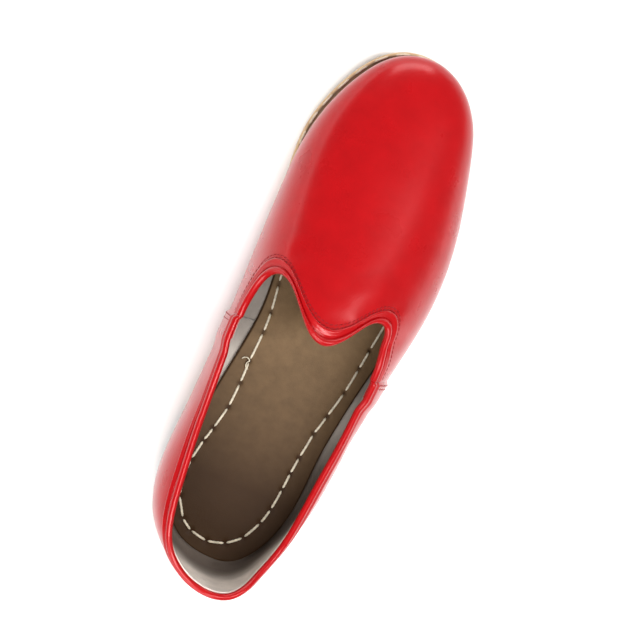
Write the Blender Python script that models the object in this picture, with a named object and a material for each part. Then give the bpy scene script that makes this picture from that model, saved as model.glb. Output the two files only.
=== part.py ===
"""Slip-on shoe, the right one of a pair: outsole, heel lift, insole, upper and two edge bindings.

The frame stands on the ground with +Z up and the toe toward +Y, and the outer side is +X.
Every piece is worked out from one form, the last: an outline seen from above, a crown height
over it, and a lower wall that tucks in to the sole. Lengths are in metres.
"""
import math

import bmesh
import bpy
import numpy as np

# Driving dimensions of the last
LENGTH = 0.2628
BALL_WIDTH = 0.088
INSTEP_HEIGHT = 0.066
BELLY_HEIGHT = 0.012
SOLE_INSET = 0.008
HEEL_ROUND = 0.0715
TOE_ROUND = 0.0955
END_POWER = 3.25

# Sole, heel and insole
SOLE_THICKNESS = 0.005
SOLE_EDGE_ROUND = 0.0008
HEEL_LIFT = 0.006
HEEL_LENGTH = 0.066
HEEL_STEP = 0.0003
ARCH_PAST_HEEL = 0.03
ARCH_FRONT = 0.575
TOE_SPRING = 0.009
SPRING_START = 0.715
INSOLE_THICKNESS = 0.002

# Upper
WALL = 0.0018
MARGIN = 0.006
LAP_RISE = 0.0011
LAP_WIDTH = 0.0115
LAP_FADE = 0.007

# Bindings of the opening's edge
VAMP_BINDING = 0.0008
VAMP_BAND = 0.0068
QUARTER_BINDING = 0.001
QUARTER_BAND = 0.0054
INNER_BAND = 0.0036
INNER_THINNING = 0.8
BEAD_INNER = 0.2
BEAD_OUTER = 0.45

# Clearance between pieces that touch
SEAT_GAP = 0.0003

# The last's sections, from the heel's back (0) to the toe's tip (1). half_width and centre are
# shares of BALL_WIDTH, crown of INSTEP_HEIGHT and belly of BELLY_HEIGHT; fullness is the power
# of the section's arch, and skew moves its ridge to the inner side.
SECTIONS = (
    # along half_width centre crown fullness belly skew
    (0.00, 0.418, 0.032, 1.48, 3.0, 1.00, 0.00),
    (0.06, 0.409, -0.035, 1.13, 3.0, 1.00, 0.01),
    (0.12, 0.417, -0.045, 0.96, 2.7, 1.00, 0.03),
    (0.20, 0.427, -0.029, 0.91, 2.4, 1.00, 0.08),
    (0.30, 0.435, -0.013, 0.96, 2.15, 0.98, 0.15),
    (0.40, 0.450, 0.004, 1.02, 2.0, 0.95, 0.20),
    (0.47, 0.465, 0.020, 1.01, 2.0, 0.92, 0.20),
    (0.54, 0.486, 0.035, 0.93, 2.0, 0.90, 0.18),
    (0.62, 0.501, 0.040, 0.83, 2.0, 0.88, 0.14),
    (0.70, 0.498, 0.030, 0.745, 2.05, 0.86, 0.10),
    (0.78, 0.484, 0.010, 0.685, 2.1, 0.82, 0.06),
    (0.86, 0.465, -0.001, 0.645, 2.2, 0.78, 0.03),
    (0.93, 0.459, 0.000, 0.63, 2.3, 0.76, 0.01),
    (1.00, 0.464, -0.013, 0.63, 2.35, 0.75, 0.00),
)
SECTION_NAMES = ("along", "half_width", "centre", "crown", "fullness", "belly", "skew")

# The edge of the opening, round from the heel's back over the inner side. turn is the angle
# round the outline in degrees (180 at the toe); across and along are its place seen from
# above, as shares of BALL_WIDTH and LENGTH.
TOPLINE = (
    # turn across along
    (0, 0.083, 0.0143),
    (10, -0.035, 0.0125),
    (20, -0.154, 0.0264),
    (30, -0.253, 0.0560),
    (40, -0.310, 0.107),
    (50, -0.339, 0.1735),
    (60, -0.365, 0.247),
    (70, -0.386, 0.3275),
    (78, -0.401, 0.398),
    (86, -0.405, 0.464),
    (94, -0.396, 0.506),
    (102, -0.371, 0.540),
    (109, -0.325, 0.5545),
    (117, -0.262, 0.5485),
    (127, -0.195, 0.5265),
    (139, -0.130, 0.502),
    (154, -0.062, 0.484),
    (170, 0.005, 0.4785),
    (186, 0.058, 0.486),
    (201, 0.105, 0.5015),
    (216, 0.158, 0.525),
    (228, 0.208, 0.5425),
    (238, 0.258, 0.549),
    (246, 0.300, 0.5425),
    (254, 0.324, 0.5165),
    (263, 0.341, 0.486),
    (274, 0.352, 0.456),
    (284, 0.350, 0.383),
    (293, 0.338, 0.3125),
    (303, 0.320, 0.242),
    (313, 0.306, 0.1715),
    (323, 0.284, 0.117),
    (333, 0.241, 0.0775),
    (342, 0.198, 0.0475),
    (351, 0.146, 0.0255),
)
SIDE_SEAM_ALONG = 0.456

# How the upper meets the sole, round the same way: tuck is how far its foot lies inside its
# widest line and edge how far the outsole ends inside that line, as shares of SOLE_INSET.
# Below 0 the outsole stands out as a rim.
FOOT = (
    # turn tuck edge
    (0, 0.76, 0.48),
    (15, 0.66, 0.33),
    (30, 0.60, 0.15),
    (45, 0.60, 0.12),
    (58, 0.75, 0.30),
    (68, 1.00, 0.55),
    (78, 1.32, 0.95),
    (87, 1.50, 1.20),
    (96, 1.40, 1.10),
    (104, 1.15, 0.78),
    (113, 0.80, 0.30),
    (120, 0.52, 0.02),
    (127, 0.36, -0.20),
    (136, 0.26, -0.29),
    (150, 0.21, -0.32),
    (165, 0.20, -0.31),
    (180, 0.20, -0.25),
    (195, 0.20, -0.18),
    (207, 0.20, -0.12),
    (218, 0.21, -0.02),
    (230, 0.24, 0.04),
    (245, 0.30, 0.10),
    (258, 0.38, 0.16),
    (272, 0.45, 0.22),
    (281, 0.55, 0.31),
    (290, 0.64, 0.40),
    (299, 0.66, 0.42),
    (309, 0.48, 0.24),
    (318, 0.28, 0.08),
    (327, 0.20, 0.04),
    (337, 0.35, 0.15),
    (348, 0.55, 0.33),
)

# How finely the forms are stepped
TURN_STEP = 3.75
WALL_ROWS = 6
ROW_CROWDING = 1.5
TUCK_ROWS = 3
SOLE_LANES = 4
HEEL_STATIONS = 13
PATH_STEPS = 48
STEP_GAP = 0.12
NORMAL_STEP = 0.00007

# Colours, roughness
MATERIALS = {
    "red_leather": ((0.62, 0.012, 0.014), 0.34),
    "red_binding": ((0.56, 0.010, 0.012), 0.36),
    "tan_leather": ((0.55, 0.36, 0.21), 0.6),
    "insole_leather": ((0.19, 0.115, 0.065), 0.55),
    "dark_rubber": ((0.03, 0.024, 0.02), 0.75),
}


def spline(knots, values, period=None):
    """A cubic spline through hand-chosen values: natural at its ends, or closed on a period."""
    x = np.asarray(knots, float)
    y = np.asarray(values, float)
    if period:
        reach = 4
        x = np.concatenate((x[-reach:] - period, x, x[:reach] + period))
        y = np.concatenate((y[-reach:], y, y[:reach]))
    h = np.diff(x)
    slope = np.diff(y) / h
    system = np.eye(len(x))
    right = np.zeros(len(x))
    for i in range(1, len(x) - 1):
        system[i, i - 1:i + 2] = h[i - 1], 2 * (h[i - 1] + h[i]), h[i]
        right[i] = 6 * (slope[i] - slope[i - 1])
    bend = np.linalg.solve(system, right)

    def value(at):
        at = np.asarray(at, float)
        if period:
            at = np.mod(at, period)
        i = np.clip(np.searchsorted(x, at) - 1, 0, len(h) - 1)
        a = (x[i + 1] - at) / h[i]
        b = (at - x[i]) / h[i]
        curve = (a ** 3 - a) * bend[i] + (b ** 3 - b) * bend[i + 1]
        return a * y[i] + b * y[i + 1] + curve * h[i] ** 2 / 6

    return value


SECTION = {
    name: spline([row[0] for row in SECTIONS], [row[i] for row in SECTIONS])
    for i, name in enumerate(SECTION_NAMES) if i
}
TOP_ACROSS = spline([row[0] for row in TOPLINE], [row[1] for row in TOPLINE], 360)
TOP_ALONG = spline([row[0] for row in TOPLINE], [row[2] for row in TOPLINE], 360)
TUCK = spline([row[0] for row in FOOT], [row[1] for row in FOOT], 360)
EDGE = spline([row[0] for row in FOOT], [row[2] for row in FOOT], 360)


def section(name, y):
    """A column of the section table at a place along the foot."""
    return SECTION[name](np.clip(y / LENGTH + 0.5, 0, 1))


def half_width(y):
    return section("half_width", y) * BALL_WIDTH


def centre(y):
    return section("centre", y) * BALL_WIDTH


def end_closing(y, inset=0.0):
    """How far the outline has closed at the heel and toe: 0 along the foot, 1 at each tip."""
    half = LENGTH / 2 - inset
    toe = (y - (LENGTH / 2 - TOE_ROUND)) / (half - (LENGTH / 2 - TOE_ROUND))
    heel = (-y - (LENGTH / 2 - HEEL_ROUND)) / (half - (LENGTH / 2 - HEEL_ROUND))
    return np.clip(toe, 0, 1) ** END_POWER + np.clip(heel, 0, 1) ** END_POWER


def outline(turn, inset=0.0):
    """A point of the outline seen from above, moved in by inset."""
    angle = np.radians(turn)
    y = -(LENGTH / 2 - inset) * np.cos(angle)
    side = -np.sign(np.round(np.sin(angle), 9))
    reach = np.sqrt(np.clip(1 - end_closing(y, inset), 0, 1))
    return centre(y) + side * (half_width(y) - inset) * reach, y


def sole_bottom(y):
    """The underside of the outsole: on the ground at the ball, up over the heel and the toe."""
    share = y / LENGTH + 0.5
    back = HEEL_LENGTH / LENGTH + ARCH_PAST_HEEL
    t = np.clip((ARCH_FRONT - share) / (ARCH_FRONT - back), 0, 1)
    arch = HEEL_LIFT * t * t * (3 - 2 * t)
    t = np.clip((share - SPRING_START) / (1 - SPRING_START), 0, 1)
    return arch + TOE_SPRING * t * t


def bed(y):
    """The top of the outsole, where the upper sits."""
    return sole_bottom(y) + SOLE_THICKNESS


def belly(y):
    """The height of the upper's widest line."""
    return bed(y) + section("belly", y) * BELLY_HEIGHT


def crown(y):
    """The height of the last's ridge, or of the cone that the quarters lean to."""
    return section("crown", y) * INSTEP_HEIGHT


def spread(x, y):
    """0 on the ridge and 1 on the outline, squared."""
    across = (x - centre(y)) / half_width(y)
    across = across + section("skew", y) * (1 - across ** 2)
    return across ** 2 + end_closing(y)


def crown_height(x, y):
    """The height of the upper's face over a point seen from above."""
    arch = np.clip(1 - spread(x, y), 0, 1) ** (1 / section("fullness", y))
    return belly(y) + (crown(y) - belly(y)) * arch


def face_normal(points):
    """The outward direction of the upper's face above its widest line."""
    def level(p):
        lift = np.clip((p[..., 2] - belly(p[..., 1])) / (crown(p[..., 1]) - belly(p[..., 1])), 0, 1)
        return spread(p[..., 0], p[..., 1]) + lift ** section("fullness", p[..., 1])

    step = NORMAL_STEP
    slope = np.zeros(points.shape)
    for axis in range(3):
        shift = np.zeros(3)
        shift[axis] = step
        slope[..., axis] = level(points + shift) - level(points - shift)
    return slope / np.linalg.norm(slope, axis=-1, keepdims=True)


def topline(turn):
    """A point of the opening's edge seen from above."""
    return TOP_ACROSS(turn) * BALL_WIDTH, (TOP_ALONG(turn) - 0.5) * LENGTH


def wall_points(turns, depths, steps_below=0):
    """Points on the upper's face, in rows: at depths below the edge, in metres, and then in
    steps that shorten from the deepest of them down to the widest line."""
    top = np.stack(topline(turns), axis=-1)
    foot = np.stack(outline(turns), axis=-1)
    reach = np.sin(np.linspace(0, math.pi / 2, PATH_STEPS + 1))[:, None, None]
    plan = top + (foot - top) * reach
    path = np.concatenate((plan, crown_height(plan[..., 0], plan[..., 1])[..., None]), axis=-1)
    steps = np.linalg.norm(np.diff(path, axis=0), axis=-1)
    run = np.concatenate((np.zeros((1, len(turns))), np.cumsum(steps, axis=0)))
    below = run[-1] - max(depths)
    marks = [np.full(len(turns), depth) for depth in depths]
    marks += [run[-1] - below * (1 - i / steps_below) ** ROW_CROWDING
              for i in range(1, steps_below + 1)]
    return np.array([
        [[np.interp(mark[i], run[:, i], path[:, i, axis]) for axis in range(3)]
         for i in range(len(turns))]
        for mark in marks
    ])


def seam_turns():
    """The angles of the two side seams, inner and outer."""
    inner = math.degrees(math.acos(1 - 2 * SIDE_SEAM_ALONG))
    return inner, 360 - inner


def column_turns():
    """The angles round the upper: even steps, with extra ones where the quarter laps the vamp."""
    inner, outer = seam_turns()
    per_degree = LENGTH / 2 * math.radians(1)
    lap = LAP_WIDTH / per_degree
    fade = LAP_FADE / per_degree
    extra = []
    for seam, back in ((inner, -1), (outer, 1)):
        extra += [seam - back * STEP_GAP, seam + back * STEP_GAP]
        extra += [seam + back * lap, seam + back * (lap + fade)]
    even = [t for t in np.arange(0, 360, TURN_STEP)
            if min(abs(t - e) for e in extra) > TURN_STEP / 3]
    return np.array(sorted(even + extra))


def lap_rise(turns):
    """How far the quarter stands proud: full over the hidden vamp edge, then fading out."""
    inner, outer = seam_turns()
    per_degree = LENGTH / 2 * math.radians(1)
    behind = np.where(turns < 180, inner - turns, turns - outer) * per_degree
    fade = np.clip((LAP_WIDTH + LAP_FADE - behind) / LAP_FADE, 0, 1)
    return np.where(behind > 0, LAP_RISE * fade, 0.0)


def ring_mesh(name, rings, around_closed):
    """A closed body from rings of points: each ring is closed, and the rings are joined in turn,
    all the way round or from one end to the other."""
    count = len(rings)
    size = len(rings[0])
    mesh = bmesh.new()
    verts = [[mesh.verts.new(p) for p in ring] for ring in rings]
    last = count if around_closed else count - 1
    for i in range(last):
        for j in range(size):
            near, far = verts[i], verts[(i + 1) % count]
            k = (j + 1) % size
            mesh.faces.new((near[j], near[k], far[k], far[j]))
    bmesh.ops.remove_doubles(mesh, verts=mesh.verts, dist=1e-6)
    if not around_closed:
        open_edges = [e for e in mesh.edges if e.is_boundary]
        if open_edges:
            bmesh.ops.holes_fill(mesh, edges=open_edges, sides=0)
    bmesh.ops.recalc_face_normals(mesh, faces=mesh.faces)
    data = bpy.data.meshes.new(name)
    mesh.to_mesh(data)
    mesh.free()
    return data


def place(name, data, material, collection, parent, smooth=40):
    """One named piece, shaded smooth, with its material."""
    obj = bpy.data.objects.new(name, data)
    collection.objects.link(obj)
    obj.parent = parent
    data.materials.append(material)
    data.shade_smooth()
    data.set_sharp_from_angle(angle=math.radians(smooth))
    return obj


def principled(name, colour, roughness):
    """A plain surface of one colour."""
    material = bpy.data.materials.new(name)
    material.use_nodes = True
    shader = material.node_tree.nodes["Principled BSDF"]
    shader.inputs["Base Color"].default_value = (*colour, 1)
    shader.inputs["Roughness"].default_value = roughness
    shader.inputs["Metallic"].default_value = 0
    return material


def tuck_inset(turn):
    """How far inside the widest line the upper meets the sole."""
    return TUCK(turn) * SOLE_INSET


def sole_edge(turn):
    """How far inside the widest line the outsole ends."""
    return EDGE(turn) * SOLE_INSET


def upper_rings(turns):
    """The upper's cross-sections: down the outer face, in under the insole and up the inside."""
    face = wall_points(turns, [0.0, INNER_BAND, QUARTER_BAND, VAMP_BAND], WALL_ROWS)
    out = face_normal(face)
    rise = lap_rise(turns)
    outer = face + out * rise[None, :, None]
    inner = face - out * WALL
    tuck = tuck_inset(turns)
    widest = belly(outline(turns)[1])
    outer_rows = list(outer)
    inner_rows = list(inner)
    for k in range(1, TUCK_ROWS + 1):
        angle = math.pi / 2 * k / TUCK_ROWS
        inset = tuck * (1 - math.cos(angle))
        x, y = outline(turns, inset - rise * math.cos(angle))
        foot = bed(y) + SEAT_GAP
        outer_rows.append(np.stack((x, y, widest - (widest - foot) * math.sin(angle)), axis=-1))
        x, y = outline(turns, inset + WALL)
        foot = bed(y) + SEAT_GAP + WALL
        inner_rows.append(np.stack((x, y, widest - (widest - foot) * math.sin(angle)), axis=-1))
    x, y = outline(turns, tuck + WALL + MARGIN)
    outer_rows.append(np.stack((x, y, bed(y) + SEAT_GAP), axis=-1))
    inner_rows.append(np.stack((x, y, bed(y) + SEAT_GAP + WALL), axis=-1))
    rows = np.array(outer_rows + inner_rows[::-1])
    return rows.transpose(1, 0, 2)


def upper(collection, parent, material):
    """Vamp and quarters in one hollow solid, open at the topline and under the foot."""
    data = ring_mesh("upper", upper_rings(column_turns()), True)
    return place("upper", data, material, collection, parent, 50)


def binding_rings(turns, band, thickness):
    """Cross-sections of a strip folded over the upper's edge, outside and in."""
    depths = [0.0, INNER_BAND] + [d for d in (QUARTER_BAND, VAMP_BAND) if d <= band]
    face = wall_points(turns, depths)
    out = face_normal(face)
    rise = lap_rise(turns)[:, None]
    up = face[0] - face[1]
    up /= np.linalg.norm(up, axis=-1, keepdims=True)

    def leg(row, offset, lift=0.0):
        return face[row] + out[row] * offset + up * lift

    near = rise + SEAT_GAP
    far = near + thickness
    inside = -WALL - SEAT_GAP
    middle = (rise - WALL) / 2
    round_over = SEAT_GAP + thickness
    ring = [leg(row, near) for row in range(len(depths) - 1, 0, -1)]
    ring += [leg(0, near, SEAT_GAP), leg(0, inside, SEAT_GAP), leg(1, inside)]
    back = inside - thickness * INNER_THINNING
    ring += [leg(1, back), leg(0, back, SEAT_GAP / 2)]
    ring += [leg(0, middle - WALL * BEAD_INNER, round_over)]
    ring += [leg(0, middle + WALL * BEAD_OUTER, round_over)]
    ring += [leg(0, far, SEAT_GAP / 2)]
    ring += [leg(row, far) for row in range(1, len(depths))]
    return np.array(ring).transpose(1, 0, 2)


def vamp_binding(collection, parent, material):
    """The strip along the throat, from side seam to side seam."""
    inner, outer = seam_turns()
    turns = column_turns()
    turns = turns[(turns > inner) & (turns < outer)]
    data = ring_mesh("vamp_binding", binding_rings(turns, VAMP_BAND, VAMP_BINDING), False)
    return place("vamp_binding", data, material, collection, parent, 50)


def quarter_binding(collection, parent, material):
    """The strip round the quarters and the heel, between the side seams."""
    inner, outer = seam_turns()
    turns = column_turns()
    turns = np.concatenate((turns[turns > outer], turns[turns < inner]))
    data = ring_mesh("quarter_binding", binding_rings(turns, QUARTER_BAND, QUARTER_BINDING), False)
    return place("quarter_binding", data, material, collection, parent, 50)


def half_turns():
    """Stations from the heel's back to the toe's tip, as angles on the inner side."""
    return np.arange(0, 180 + TURN_STEP / 2, TURN_STEP)


def lane_row(stations, inset_at, more, height):
    """A row of points across each station, from the inner side to the outer one. They end at
    inset_at(turn) and more inside the outline."""
    shares = np.linspace(0, 1, SOLE_LANES + 1)
    inner_x, inner_y = outline(stations, inset_at(stations) + more)
    outer_x, outer_y = outline(360 - stations, inset_at(360 - stations) + more)
    rows = []
    for share in shares:
        x = inner_x + (outer_x - inner_x) * share
        y = inner_y + (outer_y - inner_y) * share
        rows.append(np.stack((x, y, height(y)), axis=-1))
    return rows


def outsole(collection, parent, material):
    """The sole under the whole foot, with a rim that shows beside the upper."""
    stations = half_turns()
    round_in = SOLE_EDGE_ROUND
    top = lane_row(stations, sole_edge, round_in, bed)
    side = [lane_row(stations, sole_edge, 0.0, lambda y, h=h: sole_bottom(y) + h)
            for h in (SOLE_THICKNESS - round_in, round_in)]
    under = lane_row(stations, sole_edge, round_in, sole_bottom)
    ring = top + [side[0][-1], side[1][-1]] + under[::-1] + [side[1][0], side[0][0]]
    data = ring_mesh("outsole", np.array(ring).transpose(1, 0, 2), False)
    return place("outsole", data, material, collection, parent, 40)


def heel_lift(collection, parent, material):
    """A low block under the back of the outsole, cut straight across at the front."""
    front = HEEL_LENGTH - LENGTH / 2
    inner_front = math.degrees(math.acos(-front / (LENGTH / 2)))
    stations = np.linspace(0, inner_front, HEEL_STATIONS)
    round_in = SOLE_EDGE_ROUND
    levels = ((round_in, 0.0), (0.0, round_in), (0.0, HEEL_LIFT - SEAT_GAP))
    rows = [lane_row(stations, sole_edge, HEEL_STEP + inset, lambda y, h=h: np.full(y.shape, h))
            for inset, h in levels]
    ring = rows[2] + [rows[1][-1]] + rows[0][::-1] + [rows[1][0]]
    data = ring_mesh("heel_lift", np.array(ring).transpose(1, 0, 2), False)
    return place("heel_lift", data, material, collection, parent, 40)


def insole(collection, parent, material):
    """The footbed: it covers the upper's margin and fills down to the outsole inside it."""
    stations = half_turns()
    edge = WALL + SEAT_GAP
    plug = WALL + MARGIN + SEAT_GAP
    on_margin = SEAT_GAP + WALL + SEAT_GAP

    def at(rise):
        return lambda y: bed(y) + rise

    top = lane_row(stations, tuck_inset, edge, at(on_margin + INSOLE_THICKNESS))
    shelf = lane_row(stations, tuck_inset, edge, at(on_margin))
    neck = lane_row(stations, tuck_inset, plug, at(on_margin))
    under = lane_row(stations, tuck_inset, plug, at(SEAT_GAP))
    ring = top + [shelf[-1], neck[-1]] + under[::-1] + [neck[0], shelf[0]]
    data = ring_mesh("insole", np.array(ring).transpose(1, 0, 2), False)
    return place("insole", data, material, collection, parent, 40)


def stand_over_origin(origin, pieces):
    """Move the whole shoe so that the middle of its box, seen from above, is the origin."""
    corners = np.array([v.co for piece in pieces for v in piece.data.vertices])
    low, high = corners.min(axis=0), corners.max(axis=0)
    origin.location = (-(low[0] + high[0]) / 2, -(low[1] + high[1]) / 2, -low[2])


def main():
    for old in list(bpy.data.objects):
        bpy.data.objects.remove(old, do_unlink=True)
    collection = bpy.data.collections.new("slip_on_shoe")
    bpy.context.scene.collection.children.link(collection)
    origin = bpy.data.objects.new("shoe_origin", None)
    collection.objects.link(origin)
    surface = {name: principled(name, *look) for name, look in MATERIALS.items()}
    pieces = [
        outsole(collection, origin, surface["tan_leather"]),
        heel_lift(collection, origin, surface["dark_rubber"]),
        insole(collection, origin, surface["insole_leather"]),
        upper(collection, origin, surface["red_leather"]),
        vamp_binding(collection, origin, surface["red_binding"]),
        quarter_binding(collection, origin, surface["red_binding"]),
    ]
    stand_over_origin(origin, pieces)


main()
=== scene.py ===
"""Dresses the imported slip-on shoe: leathers, lining, bindings, stitches, sole and a pale studio.

Every new piece is worked out from the last that the solids have, stepped finely enough for
folds, stitches and edges. Lengths are in metres, and the toe points toward +Y.
"""
import math

import bmesh
import bpy
import numpy as np
from mathutils import Matrix, Vector


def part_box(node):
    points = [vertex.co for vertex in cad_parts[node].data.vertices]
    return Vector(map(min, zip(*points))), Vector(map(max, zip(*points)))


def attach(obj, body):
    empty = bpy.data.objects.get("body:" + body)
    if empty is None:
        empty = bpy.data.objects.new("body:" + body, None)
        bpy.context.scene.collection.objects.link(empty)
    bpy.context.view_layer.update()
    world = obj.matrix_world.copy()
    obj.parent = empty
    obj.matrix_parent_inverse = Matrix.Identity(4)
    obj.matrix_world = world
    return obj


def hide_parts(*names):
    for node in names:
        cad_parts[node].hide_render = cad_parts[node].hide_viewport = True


bl_info = {
    "name": "Slip-on Shoe",
    "version": (1, 0, 0),
    "blender": (4, 5, 0),
    "location": "View3D > Sidebar > Shoe",
    "description": "Builds the leathers, bindings, stitches and sole of a slip-on shoe",
    "category": "Object",
}

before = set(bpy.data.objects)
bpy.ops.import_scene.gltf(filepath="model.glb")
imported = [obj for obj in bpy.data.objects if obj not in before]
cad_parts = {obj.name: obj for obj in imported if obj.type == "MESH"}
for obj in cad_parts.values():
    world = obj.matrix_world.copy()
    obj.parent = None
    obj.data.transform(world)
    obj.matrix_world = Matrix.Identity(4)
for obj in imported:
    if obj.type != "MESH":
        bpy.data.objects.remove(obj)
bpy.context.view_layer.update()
MM = 0.001

# The last's form, as the solids have it
LENGTH = 0.2628
BALL_WIDTH = 0.088
INSTEP_HEIGHT = 0.066
BELLY_HEIGHT = 0.012
SOLE_INSET = 0.008
HEEL_ROUND = 0.0715
TOE_ROUND = 0.0955
END_POWER = 3.25
SOLE_THICKNESS = 0.005
HEEL_LIFT = 0.006
HEEL_LENGTH = 0.066
TOE_SPRING = 0.009
ARCH_PAST_HEEL = 0.03
ARCH_FRONT = 0.575
SPRING_START = 0.715
INSOLE_THICKNESS = 0.002
WALL = 0.0018
MARGIN = 0.006
LAP_RISE = 0.0011
LAP_WIDTH = 0.0115
LAP_FADE = 0.007
SEAT_GAP = 0.0003
SOLID_TURN_STEP = 3.75

# Heights of the insole's shelf and of its top over the outsole
INSOLE_SHELF = 2 * SEAT_GAP + WALL
INSOLE_TOP = INSOLE_SHELF + INSOLE_THICKNESS

# The last's sections, from the heel's back (0) to the toe's tip (1). half_width and centre are
# shares of BALL_WIDTH, crown of INSTEP_HEIGHT and belly of BELLY_HEIGHT; fullness is the power
# of the section's arch, and skew moves its ridge to the inner side.
SECTIONS = (
    # along half_width centre crown fullness belly skew
    (0.00, 0.418, 0.032, 1.48, 3.0, 1.00, 0.00),
    (0.06, 0.409, -0.035, 1.13, 3.0, 1.00, 0.01),
    (0.12, 0.417, -0.045, 0.96, 2.7, 1.00, 0.03),
    (0.20, 0.427, -0.029, 0.91, 2.4, 1.00, 0.08),
    (0.30, 0.435, -0.013, 0.96, 2.15, 0.98, 0.15),
    (0.40, 0.450, 0.004, 1.02, 2.0, 0.95, 0.20),
    (0.47, 0.465, 0.020, 1.01, 2.0, 0.92, 0.20),
    (0.54, 0.486, 0.035, 0.93, 2.0, 0.90, 0.18),
    (0.62, 0.501, 0.040, 0.83, 2.0, 0.88, 0.14),
    (0.70, 0.498, 0.030, 0.745, 2.05, 0.86, 0.10),
    (0.78, 0.484, 0.010, 0.685, 2.1, 0.82, 0.06),
    (0.86, 0.465, -0.001, 0.645, 2.2, 0.78, 0.03),
    (0.93, 0.459, 0.000, 0.63, 2.3, 0.76, 0.01),
    (1.00, 0.464, -0.013, 0.63, 2.35, 0.75, 0.00),
)
SECTION_NAMES = ("along", "half_width", "centre", "crown", "fullness", "belly", "skew")

# The edge of the opening, round from the heel's back over the inner side. turn is the angle
# round the outline in degrees (180 at the toe); across and along are its place seen from
# above, as shares of BALL_WIDTH and LENGTH.
TOPLINE = (
    # turn across along
    (0, 0.083, 0.0143),
    (10, -0.035, 0.0125),
    (20, -0.154, 0.0264),
    (30, -0.253, 0.0560),
    (40, -0.310, 0.107),
    (50, -0.339, 0.1735),
    (60, -0.365, 0.247),
    (70, -0.386, 0.3275),
    (78, -0.401, 0.398),
    (86, -0.405, 0.464),
    (94, -0.396, 0.506),
    (102, -0.371, 0.540),
    (109, -0.325, 0.5545),
    (117, -0.262, 0.5485),
    (127, -0.195, 0.5265),
    (139, -0.130, 0.502),
    (154, -0.062, 0.484),
    (170, 0.005, 0.4785),
    (186, 0.058, 0.486),
    (201, 0.105, 0.5015),
    (216, 0.158, 0.525),
    (228, 0.208, 0.5425),
    (238, 0.258, 0.549),
    (246, 0.300, 0.5425),
    (254, 0.324, 0.5165),
    (263, 0.341, 0.486),
    (274, 0.352, 0.456),
    (284, 0.350, 0.383),
    (293, 0.338, 0.3125),
    (303, 0.320, 0.242),
    (313, 0.306, 0.1715),
    (323, 0.284, 0.117),
    (333, 0.241, 0.0775),
    (342, 0.198, 0.0475),
    (351, 0.146, 0.0255),
)
SIDE_SEAM_ALONG = 0.456

# How the upper meets the sole, round the same way: tuck is how far its foot lies inside its
# widest line and edge how far the outsole ends inside that line, as shares of SOLE_INSET.
# Below 0 the outsole stands out as a rim.
FOOT = (
    # turn tuck edge
    (0, 0.76, 0.48),
    (15, 0.66, 0.33),
    (30, 0.60, 0.15),
    (45, 0.60, 0.12),
    (58, 0.75, 0.30),
    (68, 1.00, 0.55),
    (78, 1.32, 0.95),
    (87, 1.50, 1.20),
    (96, 1.40, 1.10),
    (104, 1.15, 0.78),
    (113, 0.80, 0.30),
    (120, 0.52, 0.02),
    (127, 0.36, -0.20),
    (136, 0.26, -0.29),
    (150, 0.21, -0.32),
    (165, 0.20, -0.31),
    (180, 0.20, -0.25),
    (195, 0.20, -0.18),
    (207, 0.20, -0.12),
    (218, 0.21, -0.02),
    (230, 0.24, 0.04),
    (245, 0.30, 0.10),
    (258, 0.38, 0.16),
    (272, 0.45, 0.22),
    (281, 0.55, 0.31),
    (290, 0.64, 0.40),
    (299, 0.66, 0.42),
    (309, 0.48, 0.24),
    (318, 0.28, 0.08),
    (327, 0.20, 0.04),
    (337, 0.35, 0.15),
    (348, 0.55, 0.33),
)

# The insole's line of hand stitches, round the same way: how far it lies inside the insole's
# edge, in millimetres. The maker's hand wandered a little, most at the inner waist.
HAND_LINE = (
    # turn inset
    (0, 6.6), (12, 6.0), (25, 5.3), (38, 5.8), (49, 7.4), (56, 9.6), (62, 10.4), (68, 9.2),
    (74, 7.4), (80, 6.3), (86, 5.2), (92, 4.0), (98, 3.4), (108, 5.0), (125, 6.6), (180, 6.6),
    (235, 6.6), (250, 7.6), (262, 8.6), (268, 8.0), (274, 7.0), (280, 6.0), (288, 6.5),
    (295, 8.0), (302, 8.9), (309, 10.0), (318, 9.9), (326, 9.3), (334, 8.1), (345, 8.0),
    (353, 7.4),
)

# Soft creases that wear has left, each along a line seen from above: its two ends, its half
# width and its height in millimetres. A trough is below 0.
FOLDS = (
    # x0 y0 x1 y1 width height
    (14, 6, 30, 24, 3.4, -0.38), (18, 1, 35, 16, 3.0, 0.3), (22, -2, 38, 9, 3.0, -0.34),
    (-32, 20, -18, 30, 3.6, -0.3), (-36, 14, -26, 26, 3.0, 0.24),
    (-4, 4, 10, 8, 4.0, -0.22), (2, 18, 20, 26, 5.0, 0.2),
    (31, -24, 38, -52, 3.2, -0.36), (35, -20, 42, -44, 3.0, 0.26),
    (-40, -22, -36, -60, 3.2, -0.32), (-43, -30, -41, -52, 2.8, 0.24),
    (-30, -112, -12, -124, 3.0, -0.14), (8, -122, 22, -112, 3.0, -0.12),
)

# How finely the pieces are stepped, and how their points and faces meet
COLUMN_STEP = 0.75
FINE_BAND = 0.011
FINE_ROWS = 12
BODY_ROWS = 76
TUCK_ROWS = 8
PATH_STEPS = 96
PROFILE_POINTS = 40
SEAM_ROW_POINTS = 60
MERGE_DISTANCE = 1e-6
SHARP_ANGLE = 50

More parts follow.
